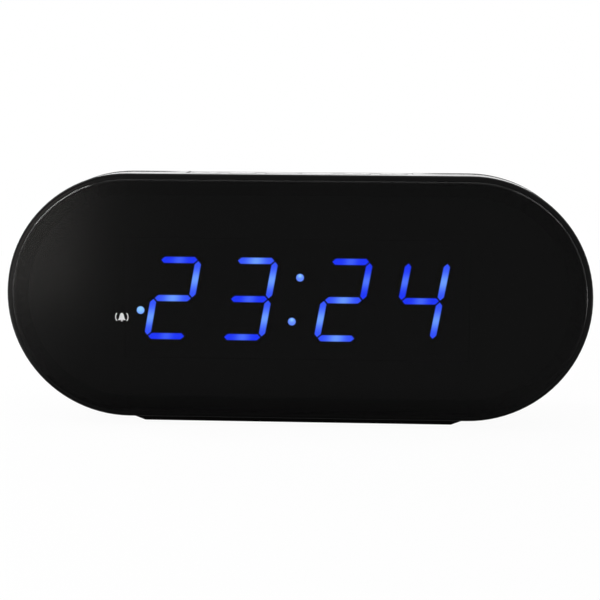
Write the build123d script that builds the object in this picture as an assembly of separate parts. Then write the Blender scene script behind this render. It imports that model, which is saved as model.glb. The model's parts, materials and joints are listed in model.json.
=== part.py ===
from build123d import *
import math
import os

# Digital LED desk clock: an upright case with round ends, a smoked front lens, a four-digit
# light-bar display, a row of keys on top, and a rear cover with a power socket, an alarm switch
# and a coin-cell compartment.
# Millimetres. +X is the viewer's right, +Y goes from the front to the back, +Z is up.
# The origin is on the table, under the middle of the case.

# Case
CASE_WIDTH = 180.0
CASE_HEIGHT = 75.5
CASE_DEPTH = 42.0
FRONT_DEPTH = 18.0
WALL = 2.2
REAR_TAPER_DEG = 7.0
REAR_ROUND = 5.0
RIM_WIDTH = 1.65
RIM_ROUND = 1.0
SEAM_CHAMFER = 0.35
LIP_LENGTH = 3.0
LIP_THICKNESS = 1.2
LIP_CLEARANCE = 0.1

# Front lens and the panel behind it
LENS_THICKNESS = 2.0
LENS_PROUD = 0.35
LENS_CLEARANCE = 0.1
LENS_CHAMFER = 0.35
TAPE_THICKNESS = 0.3
TAPE_WIDTH = 4.0
TAPE_INSET = 0.8
PANEL_THICKNESS = 1.8

# Foot under the case
FOOT_WIDTH = 95.6
FOOT_RAMP = 5.4
FOOT_SETBACK = 4.8
FOOT_DEPTH = 29.0
FOOT_PLATE = 2.0
PAD_PROUD = 0.4
PAD_POCKET = 0.6
PAD_RADIUS = 4.0
PAD_EDGE = 6.5

# Light-bar display: the shares are of the half width and half height of its housing
BAR_HALF_WIDTH_SHARE = 0.1115
BAR_HALF_HEIGHT_SHARE = 0.6439
DIGIT_PITCH_SHARE = 0.4463
COLON_PITCH_SHARE = 0.5474
COLON_SPREAD_SHARE = 0.7398
ALARM_DOT_OUT_SHARE = 0.1893
ALARM_DOT_DROP_SHARE = 0.2087
BAR_THICKNESS = 2.1
BAR_GAP = 0.36
BAR_DEPTH = 1.5
SLANT_DEG = 10.2
COLON_SHIFT = -0.06
DOT_RADIUS = 1.25
DISPLAY_SHIFT_X = -0.44
DISPLAY_SHIFT_Z = -0.6
DISPLAY_DEPTH = 8.0
DISPLAY_LENS_GAP = 0.2
WINDOW_CLEARANCE = 0.3
CHIP_LENGTH = 1.6
CHIP_WIDTH = 0.8
CHIP_HEIGHT = 0.6

# Circuit boards
BOARD_THICKNESS = 1.6
MAIN_BOARD_SIDE = 9.0
MAIN_BOARD_END = 4.0
MAIN_BOARD_BOSS_GAP = 6.0
MAIN_BOARD_KEY_GAP = 5.0
POST_RADIUS = 3.0
POST_EDGE = 0.5

# Keys on top
KEY_SHELF_MARGIN = 1.5
KEY_SHELF_DEPTH = 0.3
KEY_ROW_SETBACK = 10.0
KEY_LENGTH = 9.0
KEY_WIDTH = 6.0
SNOOZE_LENGTH = 22.0
KEY_SPACING = 2.25
KEY_CLEARANCE = 0.15
KEY_FLANGE = 0.8
KEY_FLANGE_THICKNESS = 1.0
KEY_FLANGE_GAP = 0.1
KEY_EDGE_ROUND = 0.4
KEY_STEM_RADIUS = 1.6
KEY_STEM_LENGTH = 1.5
KEY_TRAVEL = 0.5
SWITCH_SIDE = 6.0
SWITCH_HEIGHT = 3.5
PLUNGER_RADIUS = 1.75
PLUNGER_PROUD = 1.0
PLUNGER_SUNK = 0.5
PLUNGER_CLEARANCE = 0.1
KEY_BOARD_DEPTH = 10.4
KEY_POST_RADIUS = 2.4
KEY_POST_GAP = 1.2

# Screws that close the case, and the small screws inside it
CLOSING_ANGLE_DEG = 46.0
CLOSING_BOSS_RADIUS = 3.5
CLOSING_BOSS_MARGIN = 1.5
CLOSING_SEAT_DEPTH = 3.2
CLOSING_HEAD_RADIUS = 2.8
CLOSING_HEAD_HEIGHT = 2.2
CLOSING_SHANK_RADIUS = 1.45
CLOSING_BITE = 9.0
SMALL_HEAD_RADIUS = 2.2
SMALL_HEAD_HEIGHT = 1.4
SMALL_SHANK_RADIUS = 1.1
SMALL_BITE = 4.0
FOOT_SCREW_PAD_GAP = 5.1
FOOT_HEAD_HEIGHT = 1.0
FOOT_HEAD_RECESS = 1.1
FOOT_BOSS_HEIGHT = 5.0
SCREW_FIT = 0.03
PILOT_SPARE = 0.5
SCREW_HOLE_CLEARANCE = 0.2
DRIVE_WIDTH = 0.7
DRIVE_DEPTH = 0.8

# Coin-cell compartment with a quarter-turn cap
CELL_RADIUS = 10.0
CELL_HEIGHT = 3.2
CELL_STEP_RADIUS = 8.8
CELL_STEP_HEIGHT = 0.6
CELL_CLEARANCE = 0.3
CELL_PLAY = 0.2
CONTACT_THICKNESS = 0.3
CONTACT_WIDTH = 5.0
CAP_RADIUS = 13.0
CAP_RECESS = 0.3
CAP_DISC = 2.0
CAP_CLEARANCE = 0.2
CAP_LEDGE = 1.4
CAP_LUG = 1.2
LUG_INSET = 0.1
LUG_REACH = 1.3
LUG_HALF_DEG = 14.0
CAP_TURN_DEG = 45.0
COIN_SLOT_LENGTH = 15.0
COIN_SLOT_WIDTH = 2.0
COIN_SLOT_DEPTH = 1.1
CUP_WALL = 1.6
CUP_X = -36.0

# Power board with its socket, buzzer and alarm switch
POWER_BOARD_X = 29.0
POWER_BOARD_WIDTH = 52.0
POWER_BOARD_HEIGHT = 23.0
POWER_BOARD_STANDOFF = 9.0
POWER_ROW_DROP = 6.0
SOCKET_X = 44.0
SOCKET_SIDE = 9.0
SOCKET_COLLAR_RADIUS = 4.0
SOCKET_COLLAR_RECESS = 0.4
SOCKET_BORE_RADIUS = 3.1
SOCKET_BORE_DEPTH = 9.5
SOCKET_PIN_RADIUS = 1.0
SOCKET_PIN_RECESS = 0.8
SOCKET_HOLE_CLEARANCE = 0.2
BUZZER_X = 28.0
BUZZER_RADIUS = 6.0
BUZZER_HEIGHT = 7.5
SOUND_HOLE_RADIUS = 0.8
SOUND_HOLE_RING = 3.2
SWITCH_X = 12.0
SLIDE_TRAVEL = 2.0
SLIDE_BODY_LENGTH = 10.0
SLIDE_BODY_WIDTH = 4.4
SLIDE_BODY_HEIGHT = 4.0
SLIDE_LEVER_LENGTH = 2.0
SLIDE_LEVER_WIDTH = 1.6
SLIDE_LEVER_PROUD = 2.4
SLIDE_LEVER_SUNK = 1.0
KNOB_LENGTH = 3.4
KNOB_WIDTH = 3.2
KNOB_FLANGE_LENGTH = 9.4
KNOB_FLANGE_WIDTH = 5.4
KNOB_FLANGE_THICKNESS = 1.0
KNOB_STEM_LENGTH = 4.4
KNOB_STEM_WIDTH = 3.8
KNOB_CLEARANCE = 0.2
KNOB_RECESS_LENGTH = 15.0
KNOB_RECESS_WIDTH = 8.0
KNOB_RECESS_DEPTH = 0.9
KNOB_RIB = 0.5

# Parts on the boards and the cables between them
CLOCK_CHIP_LENGTH = 18.0
CLOCK_CHIP_WIDTH = 7.5
CLOCK_CHIP_HEIGHT = 2.3
CLOCK_CHIP_LEG_COUNT = 10
CHIP_CRYSTAL_GAP = 3.0
CRYSTAL_RADIUS = 1.05
CRYSTAL_LENGTH = 6.0
CAPACITOR_RADIUS = 3.15
CAPACITOR_HEIGHT = 8.0
RIBBON_WIDTH = 6.0
RIBBON_THICKNESS = 0.7
RIBBON_BEND = 1.5
LINK_BEND_SHARE = 0.2
PLUG_LENGTH = 8.0
PLUG_WIDTH = 4.0
PLUG_HEIGHT = 4.0

# Planes across the depth of the case, from the front to the back
front_y = -CASE_DEPTH / 2
rear_y = CASE_DEPTH / 2
parting_y = front_y + FRONT_DEPTH
rim_front_y = front_y + LENS_PROUD
lens_back_y = front_y + LENS_THICKNESS
panel_front_y = lens_back_y + TAPE_THICKNESS
panel_back_y = panel_front_y + PANEL_THICKNESS
display_front_y = lens_back_y + DISPLAY_LENS_GAP
display_back_y = display_front_y + DISPLAY_DEPTH
main_back_y = display_back_y + BOARD_THICKNESS
rear_inner_y = rear_y - WALL

# Heights and the case outline
case_low_z = PAD_PROUD + FOOT_PLATE
case_top_z = case_low_z + CASE_HEIGHT
axis_z = case_low_z + CASE_HEIGHT / 2
case_radius = CASE_HEIGHT / 2
round_end_x = CASE_WIDTH / 2 - case_radius
taper = math.tan(math.radians(REAR_TAPER_DEG))
rear_inset = (CASE_DEPTH - FRONT_DEPTH) * taper

# Key layout: two keys on each side of the long snooze key
key_inner_x = SNOOZE_LENGTH / 2 + KEY_SPACING + KEY_LENGTH / 2
key_outer_x = key_inner_x + KEY_LENGTH + KEY_SPACING
KEYS = {
    "time": (-key_outer_x, KEY_LENGTH),
    "alarm": (-key_inner_x, KEY_LENGTH),
    "snooze": (0.0, SNOOZE_LENGTH),
    "hour": (key_inner_x, KEY_LENGTH),
    "minute": (key_outer_x, KEY_LENGTH),
}
key_row_y = front_y + KEY_ROW_SETBACK
key_shelf_half_x = key_outer_x + KEY_LENGTH / 2 + KEY_SHELF_MARGIN
key_shelf_front_y = key_row_y - KEY_WIDTH / 2 - KEY_SHELF_MARGIN
key_shelf_z = case_top_z - KEY_SHELF_DEPTH
top_inner_z = case_top_z - WALL
key_flange_top_z = top_inner_z - KEY_FLANGE_GAP
key_flange_low_z = key_flange_top_z - KEY_FLANGE_THICKNESS
plunger_top_z = key_flange_low_z - KEY_STEM_LENGTH
switch_top_z = plunger_top_z - PLUNGER_PROUD
key_board_top_z = switch_top_z - SWITCH_HEIGHT
key_board_low_z = key_board_top_z - BOARD_THICKNESS
key_post_x = key_outer_x + KEY_LENGTH / 2 + KEY_FLANGE + KEY_POST_GAP + KEY_POST_RADIUS
key_board_half_x = key_post_x + KEY_POST_RADIUS + KEY_POST_GAP

# Closing screws stand on a ring inside each round end
closing_ring = case_radius - rear_inset - WALL - CLOSING_BOSS_RADIUS - CLOSING_BOSS_MARGIN
closing_x = round_end_x + closing_ring * math.cos(math.radians(CLOSING_ANGLE_DEG))
closing_rise = closing_ring * math.sin(math.radians(CLOSING_ANGLE_DEG))
CLOSING_POINTS = [(sx * closing_x, axis_z + sz * closing_rise) for sx in (-1, 1) for sz in (-1, 1)]
closing_seat_y = rear_y - CLOSING_SEAT_DEPTH

# Display layout: the main board fills the room between the closing bosses and under the key board
slant = math.tan(math.radians(SLANT_DEG))
display_x = DISPLAY_SHIFT_X
display_z = axis_z + DISPLAY_SHIFT_Z
main_half_x = closing_x - CLOSING_BOSS_RADIUS - MAIN_BOARD_BOSS_GAP
main_half_z = key_board_low_z - MAIN_BOARD_KEY_GAP - display_z
display_half_x = main_half_x - MAIN_BOARD_SIDE
display_half_z = main_half_z - MAIN_BOARD_END
display_post_x = display_half_x + MAIN_BOARD_SIDE / 2
display_post_z = display_half_z - POST_RADIUS
DISPLAY_POSTS = [
    (display_x + sx * display_post_x, display_z + sz * display_post_z)
    for sx in (-1, 1)
    for sz in (-1, 1)
]
bar_half_width = display_half_x * BAR_HALF_WIDTH_SHARE
bar_half_height = display_half_z * BAR_HALF_HEIGHT_SHARE
digit_pitch = display_half_x * DIGIT_PITCH_SHARE
colon_reach = display_half_x * COLON_PITCH_SHARE / 2
colon_rise = display_half_z * COLON_SPREAD_SHARE / 2
digit_reach = colon_reach + digit_pitch

# Bars of a digit: its direction, and its place in half widths and half heights
BARS = {
    "a": ("across", 0, 1),
    "b": ("up", 1, 0.5),
    "c": ("up", 1, -0.5),
    "d": ("across", 0, -1),
    "e": ("up", -1, -0.5),
    "f": ("up", -1, 0.5),
    "g": ("across", 0, 0),
}
# Digits from left to right: the place, and the bars that are lit to read 23:24
DIGITS = {
    "hour_tens": (-digit_reach, "abged"),
    "hour_units": (-colon_reach, "abgcd"),
    "minute_tens": (colon_reach, "abged"),
    "minute_units": (digit_reach, "fgbc"),
}
COLON_DOTS = [(COLON_SHIFT + side * colon_rise * slant, side * colon_rise) for side in (1, -1)]
ALARM_DOT = (
    -digit_reach - display_half_x * ALARM_DOT_OUT_SHARE,
    -display_half_z * ALARM_DOT_DROP_SHARE,
)

# Small screws: the hole they bite into and the hole they pass through
small_pilot = SMALL_SHANK_RADIUS + SCREW_FIT
small_hole = SMALL_SHANK_RADIUS + SCREW_HOLE_CLEARANCE
pilot_depth = SMALL_BITE + PILOT_SPARE

# Foot
foot_front_y = front_y + FOOT_SETBACK
foot_rear_y = foot_front_y + FOOT_DEPTH
foot_screw_y = key_row_y
pad_x = FOOT_WIDTH / 2 - PAD_EDGE
foot_screw_x = pad_x - PAD_RADIUS - SMALL_HEAD_RADIUS - FOOT_SCREW_PAD_GAP
FOOT_SCREWS = [(-foot_screw_x, foot_screw_y), (foot_screw_x, foot_screw_y)]
PADS = [
    (sx * pad_x, y)
    for sx in (-1, 1)
    for y in (foot_front_y + PAD_EDGE, foot_rear_y - PAD_EDGE)
]

# Coin-cell compartment, from the back inwards
cap_face_y = rear_y - CAP_RECESS
cap_under_y = cap_face_y - CAP_DISC
ledge_back_y = cap_under_y - CAP_CLEARANCE
ledge_front_y = ledge_back_y - CAP_LEDGE
lug_back_y = ledge_front_y - CAP_CLEARANCE
lug_front_y = lug_back_y - CAP_LUG
groove_front_y = lug_front_y - CAP_CLEARANCE
cell_back_y = lug_front_y - CELL_PLAY
cell_front_y = cell_back_y - CELL_HEIGHT
cup_floor_y = cell_front_y - CONTACT_THICKNESS
cup_front_y = cup_floor_y - CUP_WALL
lug_radius = CAP_RADIUS - LUG_INSET
plug_radius = lug_radius - LUG_REACH
groove_radius = lug_radius + CAP_CLEARANCE
cup_radius = groove_radius + CUP_WALL
pocket_radius = CELL_RADIUS + CELL_CLEARANCE
cup_z = axis_z

# Power board
power_rear_y = rear_inner_y - POWER_BOARD_STANDOFF
power_front_y = power_rear_y - BOARD_THICKNESS
power_row_z = axis_z - POWER_ROW_DROP
power_left_x = POWER_BOARD_X - POWER_BOARD_WIDTH / 2
power_right_x = POWER_BOARD_X + POWER_BOARD_WIDTH / 2
power_low_z = power_row_z - POWER_BOARD_HEIGHT / 2
power_high_z = power_row_z + POWER_BOARD_HEIGHT / 2
POWER_POSTS = [
    (power_left_x + POST_RADIUS + POST_EDGE, power_high_z - POST_RADIUS - POST_EDGE),
    (power_right_x - POST_RADIUS - POST_EDGE, power_low_z + POST_RADIUS + POST_EDGE),
]
socket_face_y = rear_y - SOCKET_COLLAR_RECESS
socket_floor_y = socket_face_y - SOCKET_BORE_DEPTH
slide_top_y = power_rear_y + SLIDE_BODY_HEIGHT
lever_end_y = slide_top_y + SLIDE_LEVER_PROUD
knob_flange_back_y = rear_inner_y - KNOB_CLEARANCE
knob_flange_front_y = knob_flange_back_y - KNOB_FLANGE_THICKNESS
slot_middle_x = SWITCH_X + SLIDE_TRAVEL / 2

# Cables
link_x = POWER_BOARD_X
link_low_z = display_z - display_half_z
link_high_z = power_row_z
key_ribbon_x = -key_inner_x
key_ribbon_y = key_row_y + KEY_BOARD_DEPTH / 2 - RIBBON_BEND
key_ribbon_z = display_z + display_half_z


def plane_at(y):
    """The upright plane at depth y, drawn as seen from the front: sketch x is X, sketch y is Z."""
    return Plane(origin=(0, y, 0), x_dir=(1, 0, 0), z_dir=(0, -1, 0))


def slab(outline, y_front, y_back):
    """A front-view outline carried from y_front to y_back."""
    return extrude(plane_at(y_back) * outline, amount=y_back - y_front)


def rod(x, z, radius, y_front, y_back):
    """A round bar along Y."""
    return slab(Pos(x, z) * Circle(radius), y_front, y_back)


def upright(outline, z_low, z_high):
    """A top-view outline carried from z_low to z_high."""
    return extrude(Pos(0, 0, z_low) * outline, amount=z_high - z_low)


def post(x, y, radius, z_low, z_high):
    """A round bar along Z."""
    return upright(Pos(x, y) * Circle(radius), z_low, z_high)


def brick(x, y, z):
    """A block between the two values of each of the pairs x, y and z."""
    size = (x[1] - x[0], y[1] - y[0], z[1] - z[0])
    return Pos((x[0] + x[1]) / 2, (y[0] + y[1]) / 2, (z[0] + z[1]) / 2) * Box(*size)


def around(middle, size):
    """The two ends of a span of this size about its middle."""
    return (middle - size / 2, middle + size / 2)


def obround(inset):
    """The case outline, moved in by inset."""
    return Pos(0, axis_z) * SlotOverall(CASE_WIDTH - 2 * inset, CASE_HEIGHT - 2 * inset)


def tapered(inset, y_front, y_back, edge_round):
    """The case outline narrowing towards the back, with a rounded back edge."""
    ends = [(y, inset + (y - parting_y) * taper) for y in (y_front, y_back)]
    body = loft([plane_at(y) * obround(moved_in) for y, moved_in in ends], ruled=True)
    return fillet(body.faces().sort_by(Axis.Y)[-1].edges(), edge_round)


def screw(point, towards, shank_radius, length, head_radius, head_height):
    """A cross-head screw whose head sits on point, with its shank pointing along towards."""
    head = Pos(0, 0, head_height / 2) * Cylinder(head_radius, head_height)
    head = fillet(head.faces().sort_by(Axis.Z)[-1].edges(), head_height / 3)
    shank = Pos(0, 0, -length / 2) * Cylinder(shank_radius, length)
    shank = chamfer(shank.faces().sort_by(Axis.Z)[0].edges(), shank_radius / 2)
    slot = Pos(0, 0, head_height - DRIVE_DEPTH / 2) * Box(head_radius * 1.2, DRIVE_WIDTH, DRIVE_DEPTH)
    away = tuple(-part for part in towards)
    return Plane(origin=point, z_dir=away) * (head + shank - slot - Rot(0, 0, 90) * slot)


def small_screw(point, towards, length):
    return screw(point, towards, SMALL_SHANK_RADIUS, length, SMALL_HEAD_RADIUS, SMALL_HEAD_HEIGHT)


def bar_outline(digit_x, kind, column, row):
    """A pointed display bar: a hexagon with square-cut tips, leaning with the digit."""
    half = BAR_THICKNESS / 2
    reach = bar_half_width if kind == "across" else bar_half_height / 2
    tip = reach - BAR_GAP / math.sqrt(2)
    shoulder = tip - half
    top = [(-tip, 0), (-shoulder, half), (shoulder, half)]
    along = top + [(tip, 0), (shoulder, -half), (-shoulder, -half)]
    points = along if kind == "across" else [(across, up) for up, across in along]
    middle = (column * bar_half_width, row * bar_half_height)
    flat = [(middle[0] + x, middle[1] + z) for x, z in points]
    leaning = [(display_x + digit_x + x + z * slant, display_z + z) for x, z in flat]
    return make_face(Polyline(*leaning, close=True))


def digit_bars(digit, lit):
    """The outlines of a digit's bars that are lit, or of those that are dark."""
    digit_x, lit_names = DIGITS[digit]
    return [bar_outline(digit_x, *BARS[name]) for name in BARS if (name in lit_names) == lit]


def dot_outline(dot):
    return Pos(display_x + dot[0], display_z + dot[1]) * Circle(DOT_RADIUS)


def key_outline(key, grow):
    x, length = KEYS[key]
    return Pos(x, key_row_y) * SlotOverall(length + 2 * grow, KEY_WIDTH + 2 * grow)


def key_shelf(y_front, y_back):
    """The shallow step that the keys stand in: both shells share it, and it is open at the back."""
    return brick(around(0, 2 * key_shelf_half_x), (y_front, y_back), (key_shelf_z, case_top_z))


def lug_outline(turn_deg, inner, outer, spare_deg):
    """Two opposite ring sectors about the compartment's axis, turned by turn_deg."""
    half = math.radians(LUG_HALF_DEG + spare_deg)
    reach = outer * 2
    wedge = make_face(
        Polyline((0, 0), (reach, -reach * math.tan(half)), (reach, reach * math.tan(half)), close=True)
    )
    ring = Circle(outer) - Circle(inner)
    pair = [ring & (Rot(0, 0, turn_deg + side) * wedge) for side in (0, 180)]
    return [Pos(CUP_X, cup_z) * sector for sector in pair]


def front_case():
    body = slab(obround(0), rim_front_y, parting_y)
    body = fillet(body.faces().sort_by(Axis.Y)[0].edges(), RIM_ROUND)
    body = chamfer(body.faces().sort_by(Axis.Y)[-1].edges(), SEAM_CHAMFER)
    body -= slab(obround(RIM_WIDTH), rim_front_y, panel_back_y)
    body -= slab(obround(WALL), panel_back_y, parting_y)
    for side in (-1, 1):
        x = side * key_post_x
        body += post(x, key_row_y, KEY_POST_RADIUS, key_board_top_z, top_inner_z)
        body -= post(x, key_row_y, small_pilot, key_board_top_z, key_board_top_z + pilot_depth)
    for x, y in FOOT_SCREWS:
        inner_z = case_low_z + WALL
        body += post(x, y, POST_RADIUS, inner_z, inner_z + FOOT_BOSS_HEIGHT)
        body -= post(x, y, small_pilot, case_low_z, inner_z + SMALL_BITE)
    body -= key_shelf(key_shelf_front_y, parting_y)
    for key in KEYS:
        body -= upright(key_outline(key, KEY_CLEARANCE), top_inner_z, case_top_z)
    return body


def front_panel():
    """The plate behind the lens: it rests on the case's ledge and takes the closing screws."""
    body = slab(obround(RIM_WIDTH + LENS_CLEARANCE), panel_front_y, panel_back_y)
    window = Rectangle(2 * (display_half_x + WINDOW_CLEARANCE), 2 * (display_half_z + WINDOW_CLEARANCE))
    body -= slab(Pos(display_x, display_z) * window, panel_front_y, panel_back_y)
    pilot_end_y = parting_y - CLOSING_BITE - PILOT_SPARE
    for x, z in CLOSING_POINTS:
        body += rod(x, z, CLOSING_BOSS_RADIUS, panel_back_y, parting_y)
        body -= rod(x, z, CLOSING_SHANK_RADIUS + SCREW_FIT, pilot_end_y, parting_y)
    for x, z in DISPLAY_POSTS:
        body += rod(x, z, POST_RADIUS, panel_back_y, display_back_y)
        body -= rod(x, z, small_pilot, display_back_y - pilot_depth, display_back_y)
    return body


def front_lens():
    body = slab(obround(RIM_WIDTH + LENS_CLEARANCE), front_y, lens_back_y)
    return chamfer(body.faces().sort_by(Axis.Y)[0].edges(), LENS_CHAMFER)


def lens_tape():
    outer = RIM_WIDTH + LENS_CLEARANCE + TAPE_INSET
    return slab(obround(outer) - obround(outer + TAPE_WIDTH), lens_back_y, panel_front_y)


def rear_cover():
    body = tapered(0, parting_y, rear_y, REAR_ROUND)
    body = chamfer(body.faces().sort_by(Axis.Y)[0].edges(), SEAM_CHAMFER)
    body -= key_shelf(parting_y, rear_y)
    body -= tapered(WALL, parting_y, rear_inner_y, REAR_ROUND - WALL)
    lip_outer = WALL + LIP_CLEARANCE
    lip_inner = obround(lip_outer + LIP_THICKNESS)
    body += slab(obround(lip_outer) - lip_inner, parting_y - LIP_LENGTH, parting_y)
    body += slab(obround(WALL / 2) - lip_inner, parting_y, parting_y + LIP_LENGTH / 2) & tapered(
        WALL / 4, parting_y, rear_y, REAR_ROUND
    )
    for x, z in CLOSING_POINTS:
        body += rod(x, z, CLOSING_BOSS_RADIUS + WALL / 2, rear_inner_y - CLOSING_SEAT_DEPTH, rear_inner_y)
        body += rod(x, z, CLOSING_BOSS_RADIUS, parting_y, rear_inner_y)
        body -= rod(x, z, CLOSING_HEAD_RADIUS + SCREW_HOLE_CLEARANCE, closing_seat_y, rear_y)
        body -= rod(x, z, CLOSING_SHANK_RADIUS + SCREW_HOLE_CLEARANCE, parting_y, closing_seat_y)
    body = with_cell_cup(body)
    return with_power_openings(body)


def with_cell_cup(body):
    """Adds the coin-cell cup, its bayonet groove and the notches that let the cap's lugs in."""
    body += rod(CUP_X, cup_z, cup_radius, cup_front_y, rear_inner_y)
    body -= rod(CUP_X, cup_z, CAP_RADIUS + CAP_CLEARANCE, ledge_back_y, rear_y)
    body -= rod(CUP_X, cup_z, plug_radius + CAP_CLEARANCE, groove_front_y, ledge_back_y)
    body -= rod(CUP_X, cup_z, groove_radius, groove_front_y, ledge_front_y)
    body -= rod(CUP_X, cup_z, pocket_radius, cup_floor_y, groove_front_y)
    for notch in lug_outline(-CAP_TURN_DEG, plug_radius, groove_radius, 2):
        body -= slab(notch, ledge_front_y, ledge_back_y)
    side = Pos(CUP_X, cup_z + CELL_RADIUS) * Rectangle(CONTACT_WIDTH + 1, 4 * CONTACT_THICKNESS + 1)
    return body - slab(side, cup_floor_y, groove_front_y)


def with_power_openings(body):
    """Adds the power board's posts and the openings for the socket, buzzer and alarm switch."""
    for x, z in POWER_POSTS:
        body += rod(x, z, POST_RADIUS, power_rear_y, rear_inner_y)
        body -= rod(x, z, small_pilot, power_rear_y, power_rear_y + pilot_depth)
    body -= rod(SOCKET_X, power_row_z, SOCKET_COLLAR_RADIUS + SOCKET_HOLE_CLEARANCE, rear_inner_y, rear_y)
    ring = [(SOUND_HOLE_RING * math.cos(turn), SOUND_HOLE_RING * math.sin(turn))
            for turn in (math.radians(60 * step) for step in range(6))]
    for dx, dz in [(0, 0), *ring]:
        body -= rod(BUZZER_X + dx, power_row_z + dz, SOUND_HOLE_RADIUS, rear_inner_y, rear_y)
    middle = Pos(slot_middle_x, power_row_z)
    recess = SlotOverall(KNOB_RECESS_LENGTH, KNOB_RECESS_WIDTH)
    body -= slab(middle * recess, rear_y - KNOB_RECESS_DEPTH, rear_y)
    slot = Rectangle(KNOB_LENGTH + SLIDE_TRAVEL + 2 * KNOB_CLEARANCE, KNOB_WIDTH + 2 * KNOB_CLEARANCE)
    return body - slab(middle * slot, rear_inner_y, rear_y)


def base_foot():
    """A plate under the case whose top follows the case, with ramped ends and pockets for the pads."""
    low = FOOT_WIDTH / 2
    high = low + FOOT_RAMP
    rise = (foot_rear_y - parting_y) * taper
    side = [
        (foot_front_y, PAD_PROUD),
        (foot_rear_y, PAD_PROUD),
        (foot_rear_y, case_low_z + rise),
        (parting_y, case_low_z),
        (foot_front_y, case_low_z),
    ]
    across = Plane(origin=(-high, 0, 0), x_dir=(0, 1, 0), z_dir=(1, 0, 0))
    body = extrude(across * make_face(Polyline(*side, close=True)), amount=2 * high)
    slope = FOOT_RAMP / FOOT_PLATE
    for end in (-1, 1):
        top_z = case_low_z + rise
        ramp = [
            (end * low, PAD_PROUD),
            (end * (high + slope * FOOT_PLATE + 1), PAD_PROUD),
            (end * (high + slope * FOOT_PLATE + 1), top_z + 1),
            (end * high, top_z + 1),
            (end * high, case_low_z),
        ]
        body -= slab(make_face(Polyline(*ramp, close=True)), foot_front_y - 1, foot_rear_y + 1)
    for x, y in PADS:
        body -= post(x, y, PAD_RADIUS, PAD_PROUD, PAD_PROUD + PAD_POCKET)
    for x, y in FOOT_SCREWS:
        body -= post(x, y, SMALL_HEAD_RADIUS + SCREW_HOLE_CLEARANCE, PAD_PROUD, PAD_PROUD + FOOT_HEAD_RECESS)
        body -= post(x, y, small_hole, PAD_PROUD, case_low_z)
    return body


def rubber_feet():
    return [post(x, y, PAD_RADIUS, 0, PAD_PROUD + PAD_POCKET) for x, y in PADS]


def foot_screws():
    seat_z = PAD_PROUD + FOOT_HEAD_RECESS
    length = case_low_z + WALL - seat_z + SMALL_BITE - PILOT_SPARE
    sizes = (SMALL_SHANK_RADIUS, length, SMALL_HEAD_RADIUS, FOOT_HEAD_HEIGHT)
    return [screw((x, y, seat_z), (0, 0, 1), *sizes) for x, y in FOOT_SCREWS]


def case_screws():
    length = closing_seat_y - parting_y + CLOSING_BITE
    sizes = (CLOSING_SHANK_RADIUS, length, CLOSING_HEAD_RADIUS, CLOSING_HEAD_HEIGHT)
    return [screw((x, closing_seat_y, z), (0, -1, 0), *sizes) for x, z in CLOSING_POINTS]


def display_housing():
    outline = Pos(display_x, display_z) * Rectangle(2 * display_half_x, 2 * display_half_z)
    body = slab(outline, display_front_y, display_back_y)
    openings = [dot_outline(dot) for dot in [*COLON_DOTS, ALARM_DOT]]
    for digit in DIGITS:
        openings += digit_bars(digit, True) + digit_bars(digit, False)
    for opening in openings:
        body -= slab(opening, display_front_y, display_back_y)
    return body


def light_bars(outlines):
    return [slab(outline, display_front_y, display_front_y + BAR_DEPTH) for outline in outlines]


def led_chips():
    """One light chip on the board behind every bar and dot."""
    places = [(dot[0], dot[1], CHIP_WIDTH, CHIP_WIDTH) for dot in [*COLON_DOTS, ALARM_DOT]]
    for digit_x, _ in DIGITS.values():
        for kind, column, row in BARS.values():
            x, z = column * bar_half_width, row * bar_half_height
            size = (CHIP_LENGTH, CHIP_WIDTH) if kind == "across" else (CHIP_WIDTH, CHIP_LENGTH)
            places.append((digit_x + x + z * slant, z, *size))
    return [
        brick(
            around(display_x + x, width),
            (display_back_y - CHIP_HEIGHT, display_back_y),
            around(display_z + z, height),
        )
        for x, z, width, height in places
    ]


def main_board():
    outline = Pos(display_x, display_z) * RectangleRounded(2 * main_half_x, 2 * main_half_z, 2)
    body = slab(outline, display_back_y, main_back_y)
    for x, z in DISPLAY_POSTS:
        body -= rod(x, z, small_hole, display_back_y, main_back_y)
    return body


def board_screws():
    display = [
        small_screw((x, main_back_y, z), (0, -1, 0), BOARD_THICKNESS + SMALL_BITE) for x, z in DISPLAY_POSTS
    ]
    keys = [
        small_screw((side * key_post_x, key_row_y, key_board_low_z), (0, 0, 1), BOARD_THICKNESS + SMALL_BITE)
        for side in (-1, 1)
    ]
    power = [
        small_screw((x, power_front_y, z), (0, 1, 0), BOARD_THICKNESS + SMALL_BITE) for x, z in POWER_POSTS
    ]
    return display, keys, power


def clock_chip():
    """The timekeeping chip: a moulded body with a row of bent legs along each long side."""
    x, z = display_x - CLOCK_CHIP_LENGTH / 2 - CHIP_CRYSTAL_GAP, display_z
    clear = 0.2
    pitch = CLOCK_CHIP_LENGTH / CLOCK_CHIP_LEG_COUNT
    body = brick(
        around(x, CLOCK_CHIP_LENGTH),
        (main_back_y + clear, main_back_y + CLOCK_CHIP_HEIGHT),
        around(z, CLOCK_CHIP_WIDTH),
    )
    leg_y = (main_back_y, main_back_y + CLOCK_CHIP_HEIGHT / 2)
    leg_z = around(z, CLOCK_CHIP_WIDTH + 2)
    for step in range(CLOCK_CHIP_LEG_COUNT):
        leg_x = around(x + (step - (CLOCK_CHIP_LEG_COUNT - 1) / 2) * pitch, pitch / 3)
        body += brick(leg_x, leg_y, leg_z)
    return body


def crystal():
    """The timing crystal: a small can lying on the board beside the chip."""
    x, z = display_x + CRYSTAL_LENGTH / 2, display_z
    lying = Plane(origin=(x, main_back_y + CRYSTAL_RADIUS, z), z_dir=(1, 0, 0))
    return lying * Cylinder(CRYSTAL_RADIUS, CRYSTAL_LENGTH)


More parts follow.
